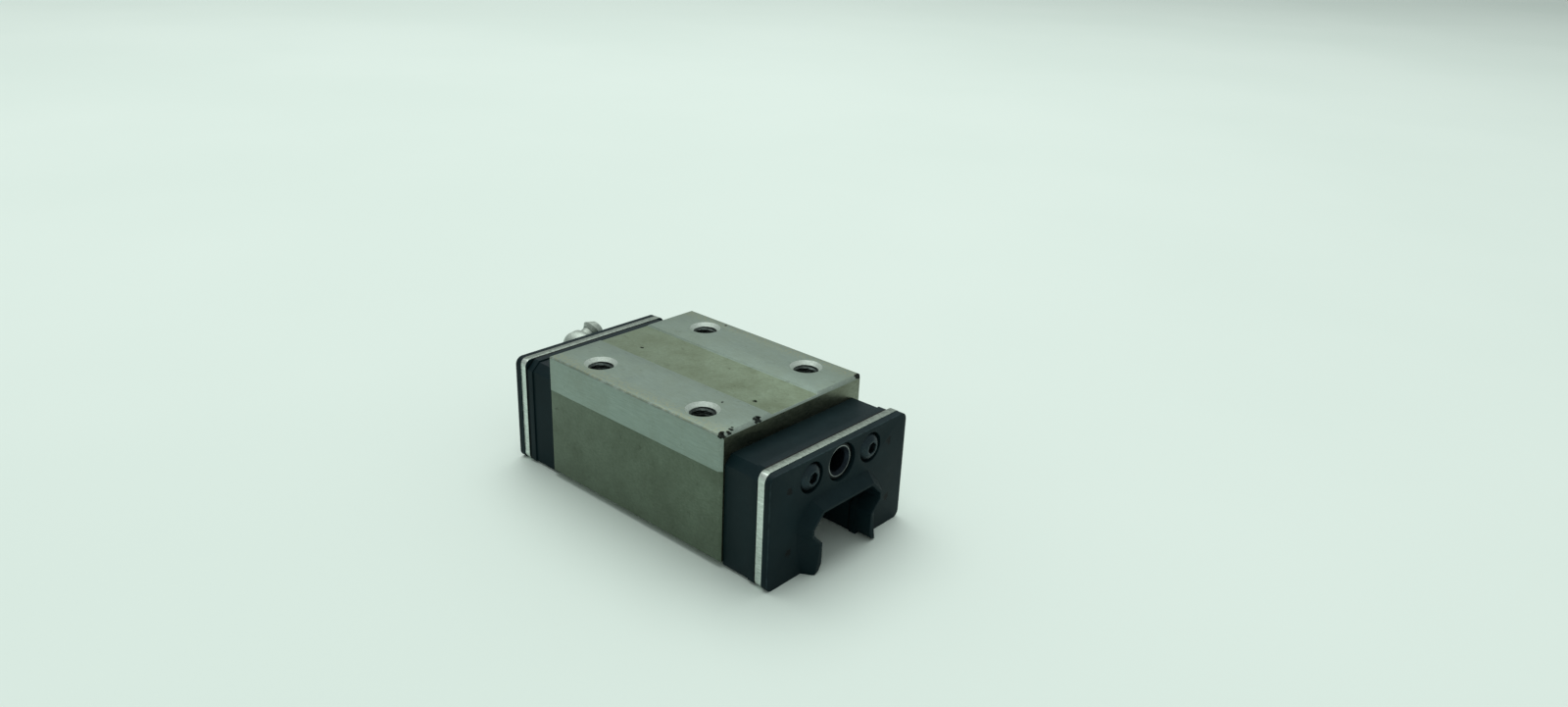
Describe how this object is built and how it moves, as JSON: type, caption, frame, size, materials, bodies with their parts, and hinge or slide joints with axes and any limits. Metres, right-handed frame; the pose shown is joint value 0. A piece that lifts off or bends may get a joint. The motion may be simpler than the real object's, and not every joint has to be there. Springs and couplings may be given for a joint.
{
  "type": "linear bearing block",
  "caption": "Rectangular steel bearing block for a profile rail, with tapped holes on top, a rail slot beneath, recirculating balls, black end caps and lipped seals.",
  "frame": {"origin": "centre of the four tapped holes, on the ground mounting face", "axes": "+X along the rail towards the open grease port, +Y across the rail, +Z out of the mounting face"},
  "size_m": [0.099, 0.048, 0.0329],
  "materials": {
    "block_steel": "ground, dull",
    "core_steel": "satin",
    "retainer_steel": "satin",
    "ball_steel": "polished",
    "spring_steel": "satin",
    "screw_steel": "blackened",
    "insert_metal": "satin",
    "plated_steel": "plated",
    "black_plastic": "moulded",
    "guide_plastic": "moulded",
    "seal_rubber": "matte"
  },
  "bodies": {
    "carriage": {"balls_lower_left": "ball_steel", "balls_lower_right": "ball_steel", "balls_upper_left": "ball_steel", "balls_upper_right": "ball_steel", "carriage_block": "block_steel", "end_plate_front": "black_plastic", "end_plate_rear": "black_plastic", "end_screw_front_left": "screw_steel", "end_screw_front_right": "screw_steel", "end_screw_rear_left": "screw_steel", "end_screw_rear_right": "screw_steel", "end_seal_front": "seal_rubber", "end_seal_rear": "seal_rubber", "grease_nipple_body": "plated_steel", "grease_nipple_spring": "spring_steel", "grease_port_insert_front": "insert_metal", "grease_port_insert_rear": "insert_metal", "retainer_left": "retainer_steel", "retainer_lower_left": "retainer_steel", "retainer_lower_right": "retainer_steel", "retainer_right": "retainer_steel", "retainer_top": "retainer_steel", "return_guide_front_left": "guide_plastic", "return_guide_front_right": "guide_plastic", "return_guide_rear_left": "guide_plastic", "return_guide_rear_right": "guide_plastic", "seal_core_front": "core_steel", "seal_core_rear": "core_steel", "side_seal_left": "seal_rubber", "side_seal_right": "seal_rubber"},
    "check_ball": {"grease_nipple_ball": "ball_steel"}
  },
  "joints": [
    {"name": "nipple_check_slide", "type": "slide", "parent": "carriage", "child": "check_ball", "axis": [0, -0.8829, -0.4695], "range_m": [0, 0.0005], "stiffness_N_per_m": 200, "springref_m": -0.001, "deforming": ["grease_nipple_spring"]}
  ]
}
